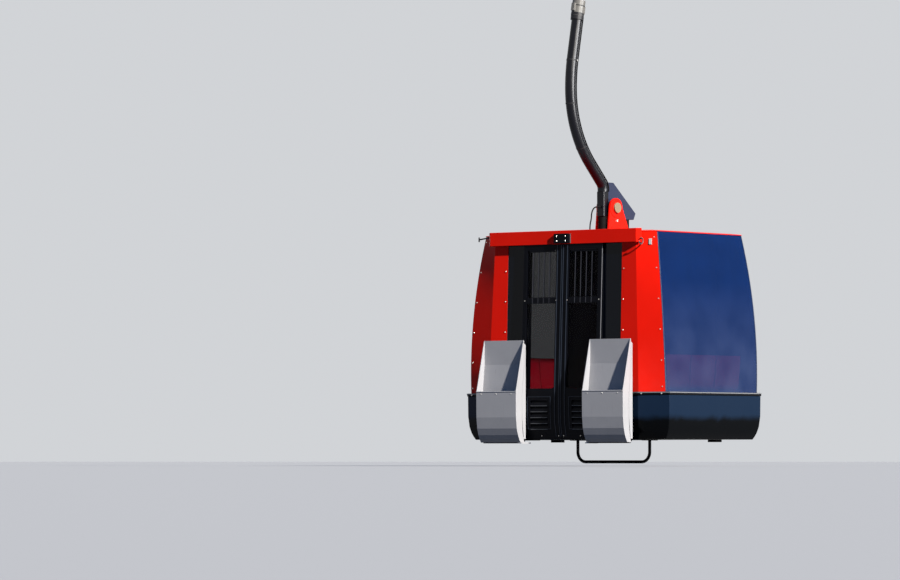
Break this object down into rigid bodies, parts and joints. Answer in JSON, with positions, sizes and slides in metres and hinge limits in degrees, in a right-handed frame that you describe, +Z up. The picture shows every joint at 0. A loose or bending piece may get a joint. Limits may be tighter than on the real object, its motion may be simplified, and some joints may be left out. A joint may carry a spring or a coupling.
{
  "type": "cable car cabin",
  "caption": "Red cable car cabin with tinted end windows, sliding doors and ski boxes, on a curved hanger arm with a detachable rope grip.",
  "frame": {"origin": "centre of the haul rope in the grip's jaws", "axes": "+X along the rope, the doors face -Y, +Z up"},
  "size_m": [2.464, 1.8, 5.1643],
  "materials": {
    "red_paint": "gloss",
    "tinted_blue": "polished",
    "smoked_glass": "polished",
    "black_frame": "satin",
    "black_shell": "gloss",
    "grey_sheet": "satin",
    "floor_metal": "satin",
    "bench_paint": "satin",
    "seat_red": "satin",
    "black_tube": "gloss",
    "grey_steel": "satin",
    "bright_steel": "bright",
    "galvanised": "matt",
    "cast_grip": "galvanised",
    "buffer_rubber": "matt",
    "wheel_plastic": "matt",
    "cable_jacket": "satin"
  },
  "bodies": {
    "grip": {"grip_body": "cast_grip", "hanger_pin": "bright_steel", "jaw_pin": "bright_steel"},
    "jaw": {"moving_jaw": "cast_grip"},
    "wheel": {"running_wheel": "wheel_plastic"},
    "cabin": {"arm_cable": "cable_jacket", "back_window": "smoked_glass", "belt_rim": "black_frame", "bench_left": "bench_paint", "bench_right": "bench_paint", "cable_glands": "cable_jacket", "corner_panel_back_side_left": "red_paint", "corner_panel_back_side_right": "red_paint", "corner_panel_door_side_left": "red_paint", "corner_panel_door_side_right": "red_paint", "door_header": "red_paint", "door_post_left": "black_frame", "door_post_right": "black_frame", "door_sill": "black_frame", "door_track": "floor_metal", "end_window_left": "tinted_blue", "end_window_right": "tinted_blue", "floor_pan": "floor_metal", "guide_hoop": "black_frame", "hanger_collar": "bright_steel", "hanger_foot": "black_tube", "hanger_gusset": "grey_steel", "hanger_head": "galvanised", "hanger_tube": "black_tube", "header_box": "black_frame", "jumper_cable": "cable_jacket", "pivot_bolt": "bright_steel", "rest_pads": "buffer_rubber", "roof_bracket": "red_paint", "roof_panel": "red_paint", "seats_left": "seat_red", "seats_right": "seat_red", "side_pane_left": "smoked_glass", "side_pane_right": "smoked_glass", "ski_box_brackets": "black_frame", "ski_box_left": "grey_sheet", "ski_box_right": "grey_sheet", "skirt_back": "black_shell", "skirt_left_end": "black_shell", "skirt_right_end": "black_shell", "sway_buffers": "buffer_rubber"},
    "door_right": {"door_glass_right": "smoked_glass", "door_grille_right": "black_frame", "door_leaf_right": "black_frame"},
    "door_left": {"door_glass_left": "smoked_glass", "door_grille_left": "black_frame", "door_leaf_left": "black_frame"}
  },
  "joints": [
    {"name": "hanger_swing", "type": "hinge", "parent": "grip", "child": "cabin", "pos_m": [0, -0.44, 0], "axis": [0, 1, 0], "range_deg": [-35, 35]},
    {"name": "jaw_opening", "type": "hinge", "parent": "grip", "child": "jaw", "pos_m": [0, -0.15, -0.092], "axis": [-1, 0, 0], "range_deg": [0, 12], "stiffness_Nm_per_rad": 400, "springref_deg": -20.05},
    {"name": "wheel_spin", "type": "hinge", "parent": "grip", "child": "wheel", "pos_m": [0, -0.1, 0.226], "axis": [0, 1, 0], "continuous": true},
    {"name": "door_right_slide", "type": "slide", "parent": "cabin", "child": "door_right", "axis": [1, 0, 0], "range_m": [0, 0.39]},
    {"name": "door_left_slide", "type": "slide", "parent": "cabin", "child": "door_left", "axis": [-1, 0, 0], "range_m": [0, 0.39]}
  ],
  "couplings": [
    {"joint": "door_left_slide", "follows": "door_right_slide", "ratio": 1}
  ]
}
